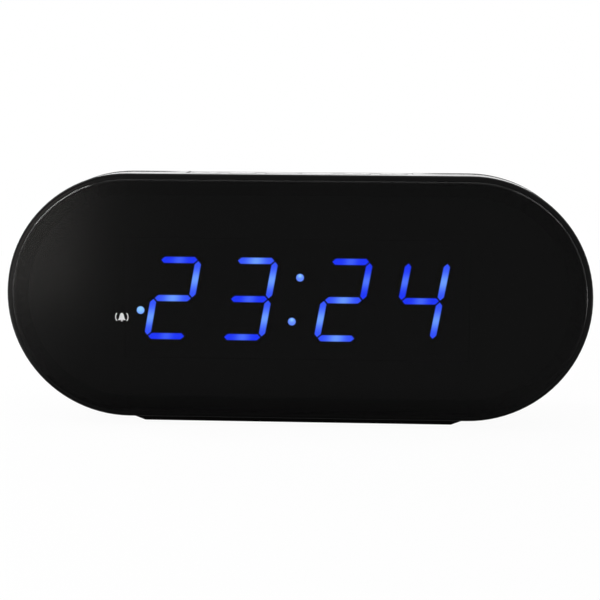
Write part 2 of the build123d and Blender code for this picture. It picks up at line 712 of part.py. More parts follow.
def capacitors():
    x, z = display_x - display_half_x / 2, display_z
    spread = 2 * CAPACITOR_RADIUS + 2
    return [
        rod(x - spread, z + side * spread / 2, CAPACITOR_RADIUS, main_back_y, main_back_y + CAPACITOR_HEIGHT)
        for side in (-1, 1)
    ]


def key_cap(key):
    body = upright(key_outline(key, 0), key_flange_low_z, case_top_z)
    body = fillet(body.faces().sort_by(Axis.Z)[-1].edges(), KEY_EDGE_ROUND)
    body += upright(key_outline(key, KEY_FLANGE), key_flange_low_z, key_flange_top_z)
    return body + post(KEYS[key][0], key_row_y, KEY_STEM_RADIUS, plunger_top_z, key_flange_low_z)


def key_plunger(key):
    return post(KEYS[key][0], key_row_y, PLUNGER_RADIUS, switch_top_z - PLUNGER_SUNK, plunger_top_z)


def key_switches():
    bore_low_z = switch_top_z - PLUNGER_SUNK - KEY_TRAVEL - PLUNGER_CLEARANCE
    made = []
    for x, _ in KEYS.values():
        body = brick(around(x, SWITCH_SIDE), around(key_row_y, SWITCH_SIDE), (key_board_top_z, switch_top_z))
        made.append(body - post(x, key_row_y, PLUNGER_RADIUS + PLUNGER_CLEARANCE, bore_low_z, switch_top_z))
    return made


def key_board():
    body = brick(
        around(0, 2 * key_board_half_x),
        around(key_row_y, KEY_BOARD_DEPTH),
        (key_board_low_z, key_board_top_z),
    )
    for side in (-1, 1):
        body -= post(side * key_post_x, key_row_y, small_hole, key_board_low_z, key_board_top_z)
    return body


def ribbon(points, bend):
    """A flat cable along points with rounded bends, lying flat across X."""
    path = FilletPolyline(*points, radius=bend)
    start = Plane(origin=path @ 0, x_dir=(1, 0, 0), z_dir=path % 0)
    return sweep(start * Rectangle(RIBBON_WIDTH, RIBBON_THICKNESS), path=path)


def key_ribbon():
    points = [
        (key_ribbon_x, key_ribbon_y, key_board_low_z),
        (key_ribbon_x, key_ribbon_y, key_ribbon_z),
        (key_ribbon_x, main_back_y, key_ribbon_z),
    ]
    return ribbon(points, RIBBON_BEND)


def link_ends():
    """The ends of the cable between the two boards, at the faces of its plugs."""
    return main_back_y + PLUG_HEIGHT, power_front_y - PLUG_HEIGHT


def link_plugs():
    main_face_y, power_face_y = link_ends()
    return [
        brick(around(link_x, PLUG_LENGTH), (main_back_y, main_face_y), around(link_low_z, PLUG_WIDTH)),
        brick(around(link_x, PLUG_LENGTH), (power_face_y, power_front_y), around(link_high_z, PLUG_WIDTH)),
    ]


def link_cable():
    main_face_y, power_face_y = link_ends()
    middle_y = (main_face_y + power_face_y) / 2
    points = [
        (link_x, main_face_y, link_low_z),
        (link_x, middle_y, link_low_z),
        (link_x, middle_y, link_high_z),
        (link_x, power_face_y, link_high_z),
    ]
    return ribbon(points, (power_face_y - main_face_y) * LINK_BEND_SHARE)


def power_board():
    body = brick(
        (power_left_x, power_right_x), (power_front_y, power_rear_y), (power_low_z, power_high_z)
    )
    for x, z in POWER_POSTS:
        body -= rod(x, z, small_hole, power_front_y, power_rear_y)
    return body


def power_socket():
    body = brick(
        around(SOCKET_X, SOCKET_SIDE), (power_rear_y, rear_inner_y), around(power_row_z, SOCKET_SIDE)
    )
    body += rod(SOCKET_X, power_row_z, SOCKET_COLLAR_RADIUS, rear_inner_y, socket_face_y)
    return body - rod(SOCKET_X, power_row_z, SOCKET_BORE_RADIUS, socket_floor_y, socket_face_y)


def power_socket_pin():
    tip_y = socket_face_y - SOCKET_PIN_RECESS
    body = rod(SOCKET_X, power_row_z, SOCKET_PIN_RADIUS, socket_floor_y, tip_y)
    return fillet(body.faces().sort_by(Axis.Y)[-1].edges(), SOCKET_PIN_RADIUS / 2)


def buzzer():
    top_y = power_rear_y + BUZZER_HEIGHT
    body = rod(BUZZER_X, power_row_z, BUZZER_RADIUS, power_rear_y, top_y)
    return body - rod(BUZZER_X, power_row_z, SOUND_HOLE_RADIUS, top_y - 1, top_y)


def alarm_switch_body():
    body = brick(
        around(SWITCH_X + SLIDE_TRAVEL / 2, SLIDE_BODY_LENGTH),
        (power_rear_y, slide_top_y),
        around(power_row_z, SLIDE_BODY_WIDTH),
    )
    slot_length = SLIDE_LEVER_LENGTH + SLIDE_TRAVEL + 2 * KNOB_CLEARANCE
    slot = brick(
        around(slot_middle_x, slot_length),
        (slide_top_y - SLIDE_LEVER_SUNK - KNOB_CLEARANCE, slide_top_y),
        around(power_row_z, SLIDE_LEVER_WIDTH + 2 * KNOB_CLEARANCE),
    )
    return body - slot


def alarm_switch_lever():
    return brick(
        around(SWITCH_X, SLIDE_LEVER_LENGTH),
        (slide_top_y - SLIDE_LEVER_SUNK, lever_end_y),
        around(power_row_z, SLIDE_LEVER_WIDTH),
    )


def alarm_switch_knob():
    """The sliding knob: a ribbed thumb piece, a flange behind the wall and a fork over the lever."""
    top_y = rear_y - KNOB_CLEARANCE
    body = brick(around(SWITCH_X, KNOB_LENGTH), (knob_flange_front_y, top_y), around(power_row_z, KNOB_WIDTH))
    for step in (-1, 0, 1):
        rib_x = around(SWITCH_X + step * 2 * KNOB_RIB, KNOB_RIB)
        body -= brick(rib_x, (top_y - KNOB_RIB, top_y), around(power_row_z, KNOB_WIDTH))
    body += brick(
        around(SWITCH_X, KNOB_FLANGE_LENGTH),
        (knob_flange_front_y, knob_flange_back_y),
        around(power_row_z, KNOB_FLANGE_WIDTH),
    )
    stem_y = (slide_top_y + KNOB_CLEARANCE, knob_flange_front_y)
    body += brick(around(SWITCH_X, KNOB_STEM_LENGTH), stem_y, around(power_row_z, KNOB_STEM_WIDTH))
    fork_x = around(SWITCH_X, SLIDE_LEVER_LENGTH + KNOB_CLEARANCE)
    fork_z = around(power_row_z, SLIDE_LEVER_WIDTH + KNOB_CLEARANCE)
    return body - brick(fork_x, (stem_y[0], lever_end_y + KNOB_CLEARANCE), fork_z)


def battery_cap():
    """A quarter-turn cap: a disc with a coin slot, a plug over the cell and two locking lugs."""
    body = rod(CUP_X, cup_z, CAP_RADIUS, cap_under_y, cap_face_y)
    body = fillet(body.faces().sort_by(Axis.Y)[-1].edges(), CAP_RECESS)
    body += rod(CUP_X, cup_z, plug_radius, lug_front_y, cap_under_y)
    for lug in lug_outline(0, plug_radius - 1, lug_radius, 0):
        body += slab(lug, lug_front_y, lug_back_y)
    slot = Pos(CUP_X, cup_z) * SlotOverall(COIN_SLOT_LENGTH, COIN_SLOT_WIDTH)
    return body - slab(slot, cap_face_y - COIN_SLOT_DEPTH, cap_face_y)


def coin_cell():
    can = rod(CUP_X, cup_z, CELL_RADIUS, cell_front_y + CELL_STEP_HEIGHT, cell_back_y)
    return can + rod(CUP_X, cup_z, CELL_STEP_RADIUS, cell_front_y, cell_front_y + CELL_STEP_HEIGHT)


def cell_contact_minus():
    """A flat strip on the cup's floor, under the cell's smaller face."""
    strip_x = around(CUP_X, 2 * CELL_STEP_RADIUS)
    return brick(strip_x, (cup_floor_y, cell_front_y), around(cup_z, CONTACT_WIDTH))


def cell_contact_plus():
    """A strip standing on the cup's floor against the cell's rim."""
    low_z = cup_z + CELL_RADIUS + CELL_CLEARANCE / 6
    return brick(
        around(CUP_X, CONTACT_WIDTH), (cup_floor_y, groove_front_y), (low_z, low_z + CONTACT_THICKNESS)
    )


def all_parts():
    display_screws, key_board_screws, power_board_screws = board_screws()
    made = {
        "front_lens": front_lens(),
        "lens_tape": lens_tape(),
        "front_panel": front_panel(),
        "front_case": front_case(),
        "rear_cover": rear_cover(),
        "case_screws": case_screws(),
        "base_foot": base_foot(),
        "rubber_feet": rubber_feet(),
        "foot_screws": foot_screws(),
        "display_housing": display_housing(),
        "colon_dots": light_bars([dot_outline(dot) for dot in COLON_DOTS]),
        "alarm_dot": light_bars([dot_outline(ALARM_DOT)]),
        "led_chips": led_chips(),
        "main_board": main_board(),
        "display_screws": display_screws,
        "clock_chip": clock_chip(),
        "crystal": crystal(),
        "capacitors": capacitors(),
        "key_board": key_board(),
        "key_board_screws": key_board_screws,
        "key_switches": key_switches(),
        "key_ribbon": key_ribbon(),
        "link_plugs": link_plugs(),
        "link_cable": link_cable(),
        "power_board": power_board(),
        "power_board_screws": power_board_screws,
        "power_socket": power_socket(),
        "power_socket_pin": power_socket_pin(),
        "buzzer": buzzer(),
        "alarm_switch_body": alarm_switch_body(),
        "alarm_switch_lever": alarm_switch_lever(),
        "alarm_switch_knob": alarm_switch_knob(),
        "battery_cap": battery_cap(),
        "coin_cell": coin_cell(),
        "cell_contact_minus": cell_contact_minus(),
        "cell_contact_plus": cell_contact_plus(),
    }
    for digit in DIGITS:
        made[f"{digit}_lit_bars"] = light_bars(digit_bars(digit, True))
        made[f"{digit}_dark_bars"] = light_bars(digit_bars(digit, False))
    for key in KEYS:
        made[f"{key}_key"] = key_cap(key)
        made[f"{key}_plunger"] = key_plunger(key)
    return made


def main():
    os.makedirs("parts", exist_ok=True)
    for name, shape in all_parts().items():
        piece = Compound(children=shape) if isinstance(shape, list) else shape
        export_step(piece, f"parts/{name}.step")


main()
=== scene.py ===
"""Looks of a digital LED desk clock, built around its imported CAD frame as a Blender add-on."""

import json
import math

import bpy
import numpy as np
from bpy.props import FloatProperty, FloatVectorProperty, PointerProperty
from mathutils import Matrix, Vector


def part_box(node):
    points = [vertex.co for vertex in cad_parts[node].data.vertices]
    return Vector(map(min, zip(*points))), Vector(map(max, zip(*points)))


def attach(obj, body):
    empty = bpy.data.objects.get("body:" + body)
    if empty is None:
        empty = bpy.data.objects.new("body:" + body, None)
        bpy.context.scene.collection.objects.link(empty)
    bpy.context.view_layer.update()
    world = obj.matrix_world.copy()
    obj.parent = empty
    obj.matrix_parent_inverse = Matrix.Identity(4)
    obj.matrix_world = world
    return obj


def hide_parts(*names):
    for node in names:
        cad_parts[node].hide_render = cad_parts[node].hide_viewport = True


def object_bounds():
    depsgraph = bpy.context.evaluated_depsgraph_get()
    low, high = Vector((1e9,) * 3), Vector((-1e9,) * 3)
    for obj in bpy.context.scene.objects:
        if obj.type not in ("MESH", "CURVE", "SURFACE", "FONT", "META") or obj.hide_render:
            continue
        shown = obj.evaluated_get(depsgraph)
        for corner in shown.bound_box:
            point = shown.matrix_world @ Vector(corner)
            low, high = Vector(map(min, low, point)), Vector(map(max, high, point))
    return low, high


bl_info = {
    "name": "Desk clock looks",
    "version": (1, 0, 0),
    "blender": (4, 5, 0),
    "location": "3D View > Sidebar > Clock",
    "description": "Light bars, prints, finishes and stage of a digital LED desk clock",
    "category": "Object",
}

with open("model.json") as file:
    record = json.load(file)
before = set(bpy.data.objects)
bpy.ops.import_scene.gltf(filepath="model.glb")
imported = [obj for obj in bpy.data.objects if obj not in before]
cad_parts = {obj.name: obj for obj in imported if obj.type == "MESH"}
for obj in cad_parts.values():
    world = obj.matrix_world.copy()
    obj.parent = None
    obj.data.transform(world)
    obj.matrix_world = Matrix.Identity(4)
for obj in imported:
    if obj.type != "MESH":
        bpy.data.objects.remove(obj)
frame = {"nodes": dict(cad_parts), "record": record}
CAD_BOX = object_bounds()
MM = 0.001

# The lit bars of 23:24 and how bright each is. Bars go clockwise from the top, g is the middle one.
DIGITS = {
    "hour_tens": {"a": 0.5, "b": 1.0, "g": 0.97, "e": 0.99, "d": 0.48},
    "hour_units": {"a": 1.0, "b": 1.0, "g": 0.52, "c": 1.0, "d": 0.6},
    "minute_tens": {"a": 0.5, "b": 0.68, "g": 0.95, "e": 1.02, "d": 0.95},
    "minute_units": {"f": 0.66, "g": 0.56, "b": 1.0, "c": 0.95},
}
# Each bar: does it stand upright, and its middle in half widths and half heights of the digit.
BARS = {
    "a": (False, 0, 1),
    "b": (True, 1, 0.5),
    "c": (True, 1, -0.5),
    "d": (False, 0, -1),
    "e": (True, -1, -0.5),
    "f": (True, -1, 0.5),
    "g": (False, 0, 0),
}
# How much paler a bar is over its chip than at its tips, and how much of its length the chip lights.
BAR_FALL = 0.62
CHIP_REACH = 0.5
# A dot's pale spot lies this share of the radius above its middle, and fades this fast away from it.
SPOT_RISE = 0.45
SPOT_FADE = {"colon_dots": 5.0, "alarm_dot": 0.6}
# The share of the light that is lost at the very edge of a bar and of a dot.
BAR_EDGE_LOSS = 0.95
DOT_EDGE_LOSS = 0.85
# Right and up on three sides of the clock, seen from outside.
FRONT = ((1, 0, 0), (0, 0, 1))
TOP = ((1, 0, 0), (0, 1, 0))
BACK = ((-1, 0, 0), (0, 0, 1))


def linear(code):
    """Turns an sRGB hex colour into linear red, green and blue."""
    parts = np.array([int(code[i:i + 2], 16) for i in (1, 3, 5)]) / 255
    low = parts <= 0.04045
    return tuple(float(x) for x in np.where(low, parts / 12.92, ((parts + 0.055) / 1.055) ** 2.4))


def length(name, description, default_mm):
    """A length property, given in millimetres and kept in metres."""
    return FloatProperty(
        name=name, description=description, default=default_mm * MM, precision=5, unit="LENGTH"
    )


def point(name, description, default_mm):
    """A place property, given in millimetres and kept in metres."""
    return FloatVectorProperty(
        name=name,
        description=description,
        default=[value * MM for value in default_mm],
        size=3,
        precision=5,
        subtype="TRANSLATION",
        unit="LENGTH",
    )


def colour(name, description, code):
    """A colour property, given as sRGB hex."""
    return FloatVectorProperty(
        name=name, description=description, default=linear(code), size=3, min=0, max=1, subtype="COLOR"
    )


class ClockDisplay(bpy.types.PropertyGroup):
    """Sizes, places and light of the digits and dots."""

    bar_thickness: length("Bar thickness", "Width of one light bar", 2.1)
    bar_gap: length("Bar gap", "Slit between the tips of two bars", 0.36)
    half_width: length("Half width", "Digit's middle to the middle of its upright bars", 5.90)
    half_height: length("Half height", "Digit's middle to the middle of its top bar", 11.88)
    pitch: length("Pitch", "Middle of one digit to the next in a pair", 23.62)
    colon_reach: length("Colon reach", "Colon to the middle of the nearest digit", 14.48)
    colon_rise: length("Colon rise", "Display's middle to a colon dot", 6.825)
    colon_shift: length("Colon shift", "Colon's place beside the display's middle", -0.06)
    alarm_out: length("Alarm dot out", "Display's middle to the alarm dot, sideways", -48.12)
    alarm_drop: length("Alarm dot drop", "Display's middle to the alarm dot, upwards", -3.85)
    dot_radius: length("Dot radius", "Radius of the colon and alarm dots", 1.25)
    bar_crown: length("Bar crown", "How far the face of a bar swells", 0.06)
    dot_crown: length("Dot crown", "How far the face of a dot swells", 0.1)
    slant: FloatProperty(
        name="Slant", description="Lean of the digits", default=math.radians(10.2), subtype="ANGLE"
    )
    strength: FloatProperty(
        name="Light", description="Emission of the lit bars, before the smoked lens", default=14.8, min=0
    )
    bar_middle: colour("Bar middle", "Light over a bright chip, in the middle of a bar", "#6796fd")
    bar_end: colour("Bar end", "Light at the tips of a dim bar", "#1630e9")
    dot_middle: colour("Dot middle", "Light in the middle of a dot", "#8ec6ff")
    dot_edge: colour("Dot edge", "Light at the edge of a dot", "#5f84f4")


class ClockPrints(bpy.types.PropertyGroup):
    """Sizes and places of the printed signs."""

    layer: length("Ink layer", "Thickness of the printed ink", 0.02)
    lens_bell: length("Lens bell", "Height of the bell beside the alarm dot", 2.6)
    lens_bell_out: length("Lens bell out", "Alarm dot to the middle of its bell, sideways", -5.6)
    lens_bell_drop: length("Lens bell drop", "Alarm dot to the middle of its bell, upwards", -2.0)
    rear_bell: length("Rear bell", "Height of the bell above the alarm switch", 3.6)
    rear_bell_aside: length("Rear bell aside", "Switch's knob to the middle of its bell, sideways", 1.0)
    rear_bell_rise: length("Rear bell rise", "Switch's knob to the middle of its bell, upwards", 7.5)
    key_line: length("Key line", "Width of the lines drawn on the keys", 0.38)
    key_dial: length("Key dial", "Radius of the dial on the time key", 1.5)
    key_bell: length("Key bell", "Height of the bell on the alarm key", 3.2)
    key_moon: length("Key moon", "Radius of the moon on the snooze key", 1.6)
    arrow_reach: length("Arrow reach", "Half the height of an arrowhead", 1.2)
    arrow_tip: length("Arrow tip", "Arrowhead's middle to its tip", 0.7)
    arrow_step: length("Arrow step", "Key's middle to the middle of each of two arrowheads", 0.75)


class ClockTrim(bpy.types.PropertyGroup):
    """Sizes of the thin bead round the ends of the case."""

    setback: length("Setback", "Clock's front to the middle of the bead", 13.0)
    height: length("Height", "How far the bead stands off the shell", 0.16)
    width: length("Width", "Width of the bead", 0.7)
    key_gap: length("Key gap", "Outer key's flange to the end of the bead", 3.0)
    sunk: length("Sunk", "How far the bead's back lies in the shell", 0.1)


class ClockFinish(bpy.types.PropertyGroup):
    """Colours of the clock's materials."""

    shell: colour("Front shell", "Polished black ABS", "#080808")
    cover: colour("Rear cover", "Spark-textured black ABS", "#161617")
    foot: colour("Foot", "Satin black ABS", "#070707")
    keys: colour("Keys", "Polished black ABS of the keys", "#1c1d1f")
    lens: colour("Lens", "Tint of the smoked acrylic", "#4d4e4e")
    mask: colour("Board", "Solder mask of the circuit boards", "#12553a")
    ink: colour("Ink", "White pad-printing ink", "#e6e7e8")


class ClockStage(bpy.types.PropertyGroup):
    """Floor, surround and camera."""

    floor: colour("Floor", "Pale studio floor", "#eeeeee")
    floor_reach: length("Floor reach", "Clock's middle to an edge of the floor", 3000)
    floor_depth: length("Floor depth", "Thickness of the floor", 10)
    ambient: FloatProperty(name="Ambient", description="Soft light from all round", default=0.35, min=0)
    camera_place: point("Camera place", "Where the picture is taken from", (22.99, -463.98, 102.02))
    camera_target: point("Camera target", "What the camera points at", (0.822, -21.0, 39.694))
    sensor: FloatProperty(name="Sensor", description="Width of the camera's sensor, in mm", default=36.0)
    focal: FloatProperty(name="Focal length", description="Camera's focal length, in mm", default=87.83)
    roll: FloatProperty(
        name="Roll",
        description="Camera's turn about its own axis",
        default=math.radians(0.329),
        subtype="ANGLE",
    )


# Meshes


def grid(columns, rows):
    """Two arrays of parameters from -1 to 1: u runs along the columns and v along the rows."""
    return np.meshgrid(np.linspace(-1, 1, columns), np.linspace(-1, 1, rows))


def shell(front, back):
    """Vertices and quads of a closed skin between two grids of points of the same size.

    Each grid's neighbours make quads, the back's turned round, and the rims of the two grids are
    joined all the way round.
    """
    rows, columns = front.shape[:2]
    place = np.arange(rows * columns).reshape(rows, columns)
    quads = np.stack([place[:-1, :-1], place[:-1, 1:], place[1:, 1:], place[1:, :-1]], -1).reshape(-1, 4)
    rim = np.concatenate([place[0, :-1], place[:-1, -1], place[-1, :0:-1], place[:0:-1, 0]])
    after, step = np.roll(rim, -1), rows * columns
    wall = np.stack([rim, rim + step, after + step, after], -1)
    points = np.concatenate([front.reshape(-1, 3), back.reshape(-1, 3)])
    return points, np.concatenate([quads, quads[:, ::-1] + step, wall])


def piece(name, shells, material, body, slot, stands_for=(), **levels):
    """Joins shells into one object that rides on a CAD body, with named levels kept on its vertices."""
    points, faces, count = [], [], 0
    for vertices, quads in shells:
        points.append(vertices)
        faces.append(quads + count)
        count += len(vertices)
    mesh = bpy.data.meshes.new(name)
    mesh.from_pydata(np.concatenate(points), [], np.concatenate(faces))
    for level, values in levels.items():
        mesh.attributes.new(level, "FLOAT", "POINT").data.foreach_set(
            "value", np.concatenate(values).astype(np.float32)
        )
    mesh.validate()
    mesh.materials.append(material)
    made = bpy.data.objects.new(name, mesh)
    bpy.context.scene.collection.objects.link(made)
    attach(made, body)
    if stands_for:
        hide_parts(*stands_for)


def at(x, y, z):
    """Stacks coordinate arrays into points."""
    return np.stack(np.broadcast_arrays(x, y, z), -1)


# Materials


def node(tree, kind, inputs=None, **settings):
    """Adds a node, sets its settings, and sets or links each named input."""
    made = tree.nodes.new(kind)
    for name, value in settings.items():
        setattr(made, name, value)
    for name, value in (inputs or {}).items():
        if isinstance(value, bpy.types.NodeSocket):
            tree.links.new(value, made.inputs[name])
        else:
            made.inputs[name].default_value = value
    return made


def new_material(name):
    """An empty node material and its tree."""
    made = bpy.data.materials.new(name)
    made.use_nodes = True
    made.node_tree.nodes.clear()
    return made, made.node_tree


def rgba(values, share=1.0):
    """A linear colour with full alpha, made lighter or darker by a share."""
    return (*(min(1.0, float(x) * share) for x in values), 1.0)


def moulded(name, base, grain_mm, depth_mm, rough, mottle=0.2, specular=0.5):
    """Injection-moulded plastic: a fine tool texture in relief over a broad, faint drift in tone and gloss.

    rough holds the lowest and highest roughness, mottle how far the tone drifts, and specular how much
    of the plastic's own reflection is left, with 0.5 for all of it.
    """
    drift_mm = 14
    made, tree = new_material(name)
    where = node(tree, "ShaderNodeTexCoord").outputs["Object"]
    grain = node(tree, "ShaderNodeTexNoise", {"Vector": where, "Scale": 1 / (grain_mm * MM), "Detail": 3.0})
    drift = node(tree, "ShaderNodeTexNoise", {"Vector": where, "Scale": 1 / (drift_mm * MM), "Detail": 2.0})
    both = node(tree, "ShaderNodeMath", {0: grain.outputs["Fac"], 1: drift.outputs["Fac"]}, operation="ADD")
    spread = {"Value": both.outputs[0], "From Min": 0.7, "From Max": 1.3}
    share = node(tree, "ShaderNodeMapRange", spread)
    tone = node(
        tree,
        "ShaderNodeMix",
        {0: share.outputs[0], 6: rgba(base, 1 - mottle), 7: rgba(base, 1 + mottle)},
        data_type="RGBA",
    )
    gloss = node(tree, "ShaderNodeMapRange", {**spread, "To Min": rough[0], "To Max": rough[1]})
    relief = node(tree, "ShaderNodeBump", {"Height": grain.outputs["Fac"], "Distance": depth_mm * MM})
    surface = node(
        tree,
        "ShaderNodeBsdfPrincipled",
        {
            "Base Color": tone.outputs[2],
            "Roughness": gloss.outputs[0],
            "Normal": relief.outputs[0],
            "IOR": 1.53,
            "Specular IOR Level": specular,
        },
    )
    node(tree, "ShaderNodeOutputMaterial", {"Surface": surface.outputs[0]})
    return made


def plated(name, base, rough, line_mm, stretch):
    """Drawn or plated metal: fine lines, long in one direction, that vary its gloss and tone."""
    line_depth_mm = 0.003
    made, tree = new_material(name)
    where = node(tree, "ShaderNodeTexCoord").outputs["Object"]
    drawn = node(tree, "ShaderNodeMapping", {"Vector": where, "Scale": stretch})
    lines = node(
        tree, "ShaderNodeTexNoise", {"Vector": drawn.outputs[0], "Scale": 1 / (line_mm * MM), "Detail": 4.0}
    )
    gloss = node(
        tree, "ShaderNodeMapRange", {"Value": lines.outputs["Fac"], "To Min": rough[0], "To Max": rough[1]}
    )
    tone = node(
        tree,
        "ShaderNodeMix",
        {0: lines.outputs["Fac"], 6: rgba(base, 0.82), 7: rgba(base, 1.1)},
        data_type="RGBA",
    )
    relief = node(tree, "ShaderNodeBump", {"Height": lines.outputs["Fac"], "Distance": line_depth_mm * MM})
    surface = node(
        tree,
        "ShaderNodeBsdfPrincipled",
        {
            "Base Color": tone.outputs[2],
            "Roughness": gloss.outputs[0],
            "Normal": relief.outputs[0],
            "Metallic": 1.0,
        },
    )
    node(tree, "ShaderNodeOutputMaterial", {"Surface": surface.outputs[0]})
    return made


def cellular(name, base, cell_mm, depth_mm, rough):
    """Foam or cured rubber: small round cells in relief, dull, with painted shade that darkens their pits."""
    made, tree = new_material(name)
    where = node(tree, "ShaderNodeTexCoord").outputs["Object"]
    cells = node(tree, "ShaderNodeTexVoronoi", {"Vector": where, "Scale": 1 / (cell_mm * MM)})
    # Painted shade: the tone follows the relief, darkest in the pits and palest on the rims.
    tone = node(
        tree,
        "ShaderNodeMix",
        {0: cells.outputs["Distance"], 6: rgba(base, 0.6), 7: rgba(base, 1.3)},
        data_type="RGBA",
    )
    relief = node(tree, "ShaderNodeBump", {"Height": cells.outputs["Distance"], "Distance": depth_mm * MM})
    surface = node(
        tree,
        "ShaderNodeBsdfPrincipled",
        {"Base Color": tone.outputs[2], "Roughness": rough, "Normal": relief.outputs[0], "IOR": 1.52},
    )
    node(tree, "ShaderNodeOutputMaterial", {"Surface": surface.outputs[0]})
    return made


def circuit_board(mask):
    """Glass-epoxy board: glossy solder mask, paler where copper tracks run under it in steps."""
    track_mm = 3.2
    copper_mm = 0.02
    weave_mm = 0.5
    made, tree = new_material("Glass_epoxy_board")
    where = node(tree, "ShaderNodeTexCoord").outputs["Object"]
    tracks = node(
        tree,
        "ShaderNodeTexVoronoi",
        {"Vector": where, "Scale": 1 / (track_mm * MM), "Randomness": 0.55},
        feature="DISTANCE_TO_EDGE",
    )
    copper = node(
        tree,
        "ShaderNodeMapRange",
        {
            "Value": tracks.outputs["Distance"],
            "From Min": 0.05,
            "From Max": 0.09,
            "To Min": 1.0,
            "To Max": 0.0,
        },
    )
    weave = node(tree, "ShaderNodeTexNoise", {"Vector": where, "Scale": 1 / (weave_mm * MM), "Detail": 1.0})
    tone = node(
        tree,
        "ShaderNodeMix",
        {0: copper.outputs[0], 6: rgba(mask), 7: rgba(mask, 1.9)},
        data_type="RGBA",
    )
    gloss = node(
        tree, "ShaderNodeMapRange", {"Value": weave.outputs["Fac"], "To Min": 0.22, "To Max": 0.38}
    )
    relief = node(tree, "ShaderNodeBump", {"Height": copper.outputs[0], "Distance": copper_mm * MM})
    surface = node(
        tree,
        "ShaderNodeBsdfPrincipled",
        {
            "Base Color": tone.outputs[2],
            "Roughness": gloss.outputs[0],
            "Normal": relief.outputs[0],
            "IOR": 1.55,
        },
    )
    node(tree, "ShaderNodeOutputMaterial", {"Surface": surface.outputs[0]})
    return made


def flat_cable():
    """Grey PVC flat cable: round ridges at 1.27 mm, one for each wire, with painted light on the crests and
    painted shade in the grooves between them.
    """
    pitch_mm = 1.27
    ridge_mm = 0.25
    made, tree = new_material("PVC_flat_cable")
    where = node(tree, "ShaderNodeTexCoord").outputs["Object"]
    # At a scale of 1 the wave runs through 20 radians in a metre.
    scale = 2 * math.pi / (20 * pitch_mm * MM)
    ridges = node(tree, "ShaderNodeTexWave", {"Vector": where, "Scale": scale}, bands_direction="X")
    # Painted light and shade: the tone follows the ridges, palest on the crests and darkest in the grooves.
    tone = node(
        tree,
        "ShaderNodeMix",
        {0: ridges.outputs["Fac"], 6: rgba(linear("#6f7276")), 7: rgba(linear("#a4a7aa"))},
        data_type="RGBA",
    )
    relief = node(tree, "ShaderNodeBump", {"Height": ridges.outputs["Fac"], "Distance": ridge_mm * MM})
    surface = node(
        tree,
        "ShaderNodeBsdfPrincipled",
        {"Base Color": tone.outputs[2], "Roughness": 0.45, "Normal": relief.outputs[0], "IOR": 1.53},
    )
    node(tree, "ShaderNodeOutputMaterial", {"Surface": surface.outputs[0]})
    return made


def smoked_acrylic(tint):
    """Cast acrylic sheet with a smoke tint and an anti-glare coat: clear and dark, with a weak, soft mirror.

    The coat keeps about a seventh of plain acrylic's reflection. Faint wipe marks vary the sheet's gloss.
    """
    mark_mm = 9
    made, tree = new_material("Smoked_acrylic_sheet")
    where = node(tree, "ShaderNodeTexCoord").outputs["Object"]
    wiped = node(tree, "ShaderNodeMapping", {"Vector": where, "Scale": (0.25, 1.0, 1.0)})
    marks = node(
        tree, "ShaderNodeTexNoise", {"Vector": wiped.outputs[0], "Scale": 1 / (mark_mm * MM), "Detail": 4.0}
    )
    gloss = node(
        tree, "ShaderNodeMapRange", {"Value": marks.outputs["Fac"], "To Min": 0.04, "To Max": 0.08}
    )
    surface = node(
        tree,
        "ShaderNodeBsdfPrincipled",
        {
            "Base Color": rgba(tint),
            "Roughness": gloss.outputs[0],
            "IOR": 1.49,
            "Transmission Weight": 1.0,
            "Specular Tint": (0.0, 0.0, 0.0, 1.0),
            "Coat Weight": 0.145,
            "Coat Roughness": 0.18,
        },
    )
    node(tree, "ShaderNodeOutputMaterial", {"Surface": surface.outputs[0]})
    return made


def lit_epoxy(name, middle, edge, strength):
    """Milky epoxy over a blue chip: palest over the chip, deep blue further out and dim at its very edge."""
    made, tree = new_material(name)
    glow = node(tree, "ShaderNodeAttribute", attribute_name="glow")
    spill = node(tree, "ShaderNodeAttribute", attribute_name="spill")
    light = node(
        tree, "ShaderNodeMix", {0: glow.outputs["Fac"], 6: rgba(edge), 7: rgba(middle)}, data_type="RGBA"
    )
    dimmed = node(
        tree, "ShaderNodeVectorMath", {0: light.outputs[2], "Scale": spill.outputs["Fac"]}, operation="SCALE"
    )
    surface = node(
        tree,
        "ShaderNodeBsdfPrincipled",
        {
            "Base Color": rgba(linear("#1c2a55")),
            "Roughness": 0.35,
            "IOR": 1.5,
            "Emission Color": dimmed.outputs[0],
            "Emission Strength": strength,
        },
    )
    node(tree, "ShaderNodeOutputMaterial", {"Surface": surface.outputs[0]})
    return made


